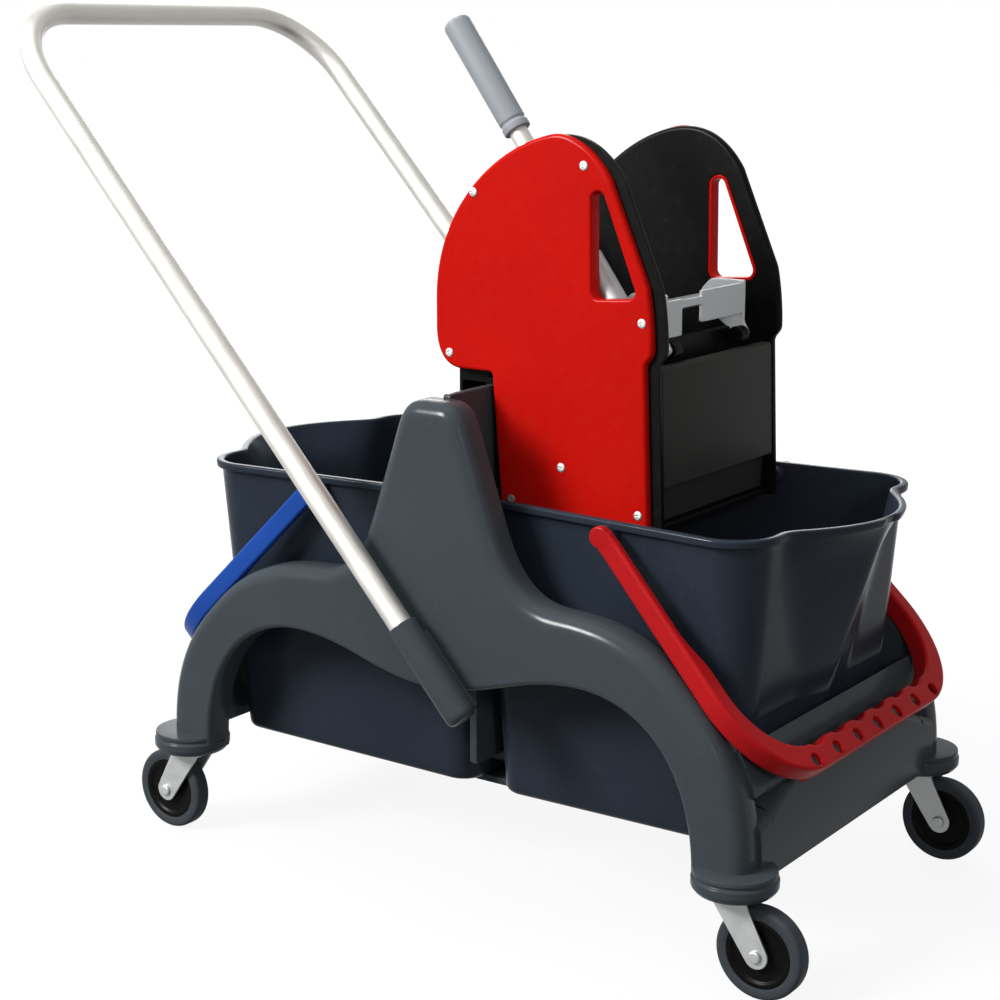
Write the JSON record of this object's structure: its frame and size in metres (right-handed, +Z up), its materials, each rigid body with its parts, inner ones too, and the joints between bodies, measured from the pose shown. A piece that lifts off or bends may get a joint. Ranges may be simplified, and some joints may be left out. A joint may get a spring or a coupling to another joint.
{
  "type": "double mop bucket trolley",
  "caption": "Grey moulded trolley on swivel castors with two mop buckets, a red press wringer and a bent tube push handle.",
  "frame": {"origin": "on the floor under the middle of the overall box", "axes": "+X towards the wringer end, -Y towards the lever's side, +Z up"},
  "size_m": [0.8761, 0.466, 0.8094],
  "materials": {
    "chassis_plastic": "moulded, slightly glossy slate grey",
    "bucket_plastic": "moulded, slightly glossy dark blue grey",
    "red_plastic": "moulded, glossy red",
    "blue_plastic": "moulded, glossy blue",
    "black_plastic": "moulded black",
    "bright_tube": "satin bright tube",
    "grip_plastic": "moulded light grey sleeve",
    "zinc_steel": "bright zinc plated steel",
    "tyre_rubber": "grey rubber"
  },
  "bodies": {
    "chassis": {"side_panel_near": "chassis_plastic", "side_panel_far": "chassis_plastic", "end_wall_front": "chassis_plastic", "end_wall_rear": "chassis_plastic", "partition": "chassis_plastic", "floor_rails": "chassis_plastic", "leg_sockets": "black_plastic", "corner_bumpers": "chassis_plastic", "handle_tube": "bright_tube", "handle_sockets": "chassis_plastic"},
    "red_bucket": {"bucket_red": "bucket_plastic", "bail_studs_red": "black_plastic"},
    "red_bail": {"bail_red": "red_plastic"},
    "blue_bucket": {"bucket_blue": "bucket_plastic", "bail_studs_blue": "black_plastic"},
    "blue_bail": {"bail_blue": "blue_plastic"},
    "wringer": {"inner_plate_near": "black_plastic", "inner_plate_far": "black_plastic", "cover_near": "red_plastic", "cover_far": "red_plastic", "cover_screws": "zinc_steel", "front_panel": "black_plastic", "back_plate": "black_plastic", "saddle": "black_plastic", "drain_grid": "black_plastic", "flap_pin": "zinc_steel"},
    "press_flap": {"flap": "black_plastic"},
    "lever": {"lever_shaft": "zinc_steel", "yoke": "zinc_steel", "press_studs": "black_plastic", "lever_hub": "black_plastic", "lever_tube": "bright_tube", "lever_grip": "grip_plastic"},
    "castor_front_near": {"fork_front_near": "zinc_steel", "stem_front_near": "zinc_steel", "axle_front_near": "zinc_steel"},
    "wheel_front_near": {"hub_front_near": "black_plastic", "tyre_front_near": "tyre_rubber"},
    "castor_front_far": {"fork_front_far": "zinc_steel", "stem_front_far": "zinc_steel", "axle_front_far": "zinc_steel"},
    "wheel_front_far": {"hub_front_far": "black_plastic", "tyre_front_far": "tyre_rubber"},
    "castor_rear_near": {"fork_rear_near": "zinc_steel", "stem_rear_near": "zinc_steel", "axle_rear_near": "zinc_steel"},
    "wheel_rear_near": {"hub_rear_near": "black_plastic", "tyre_rear_near": "tyre_rubber"},
    "castor_rear_far": {"fork_rear_far": "zinc_steel", "stem_rear_far": "zinc_steel", "axle_rear_far": "zinc_steel"},
    "wheel_rear_far": {"hub_rear_far": "black_plastic", "tyre_rear_far": "tyre_rubber"}
  },
  "joints": [
    {"name": "red_bucket_lift", "type": "slide", "parent": "chassis", "child": "red_bucket", "axis": [0, 0, 1], "range_m": [0, 0.2]},
    {"name": "red_bail_swing", "type": "hinge", "parent": "red_bucket", "child": "red_bail", "pos_m": [0.22506, 0, 0.364], "axis": [0, -1, 0], "range_deg": [0, 115]},
    {"name": "blue_bucket_lift", "type": "slide", "parent": "chassis", "child": "blue_bucket", "axis": [0, 0, 1], "range_m": [0, 0.06]},
    {"name": "blue_bail_swing", "type": "hinge", "parent": "blue_bucket", "child": "blue_bail", "pos_m": [-0.09494, 0, 0.364], "axis": [0, 1, 0], "range_deg": [0, 135]},
    {"name": "wringer_lift", "type": "slide", "parent": "red_bucket", "child": "wringer", "axis": [0, 0, 1], "range_m": [0, 0.2]},
    {"name": "lever_press", "type": "hinge", "parent": "wringer", "child": "lever", "pos_m": [0.19406, 0, 0.541], "axis": [0, 1, 0], "range_deg": [0, 80]},
    {"name": "flap_swing", "type": "hinge", "parent": "wringer", "child": "press_flap", "pos_m": [0.22506, 0, 0.38], "axis": [0, -1, 0], "range_deg": [0, 27]},
    {"name": "swivel_front_near", "type": "hinge", "parent": "chassis", "child": "castor_front_near", "pos_m": [0.37106, -0.183, 0.088], "axis": [0, 0, 1], "continuous": true},
    {"name": "roll_front_near", "type": "hinge", "parent": "castor_front_near", "child": "wheel_front_near", "pos_m": [0.39806, -0.183, 0.04], "axis": [0, 1, 0], "continuous": true},
    {"name": "swivel_front_far", "type": "hinge", "parent": "chassis", "child": "castor_front_far", "pos_m": [0.37106, 0.183, 0.088], "axis": [0, 0, 1], "continuous": true},
    {"name": "roll_front_far", "type": "hinge", "parent": "castor_front_far", "child": "wheel_front_far", "pos_m": [0.39806, 0.183, 0.04], "axis": [0, 1, 0], "continuous": true},
    {"name": "swivel_rear_near", "type": "hinge", "parent": "chassis", "child": "castor_rear_near", "pos_m": [-0.24094, -0.183, 0.088], "axis": [0, 0, 1], "continuous": true},
    {"name": "roll_rear_near", "type": "hinge", "parent": "castor_rear_near", "child": "wheel_rear_near", "pos_m": [-0.26794, -0.183, 0.04], "axis": [0, 1, 0], "continuous": true},
    {"name": "swivel_rear_far", "type": "hinge", "parent": "chassis", "child": "castor_rear_far", "pos_m": [-0.24094, 0.183, 0.088], "axis": [0, 0, 1], "continuous": true},
    {"name": "roll_rear_far", "type": "hinge", "parent": "castor_rear_far", "child": "wheel_rear_far", "pos_m": [-0.26794, 0.183, 0.04], "axis": [0, 1, 0], "continuous": true}
  ],
  "couplings": [
    {"joint": "flap_swing", "follows": "lever_press", "ratio": 0.33}
  ]
}
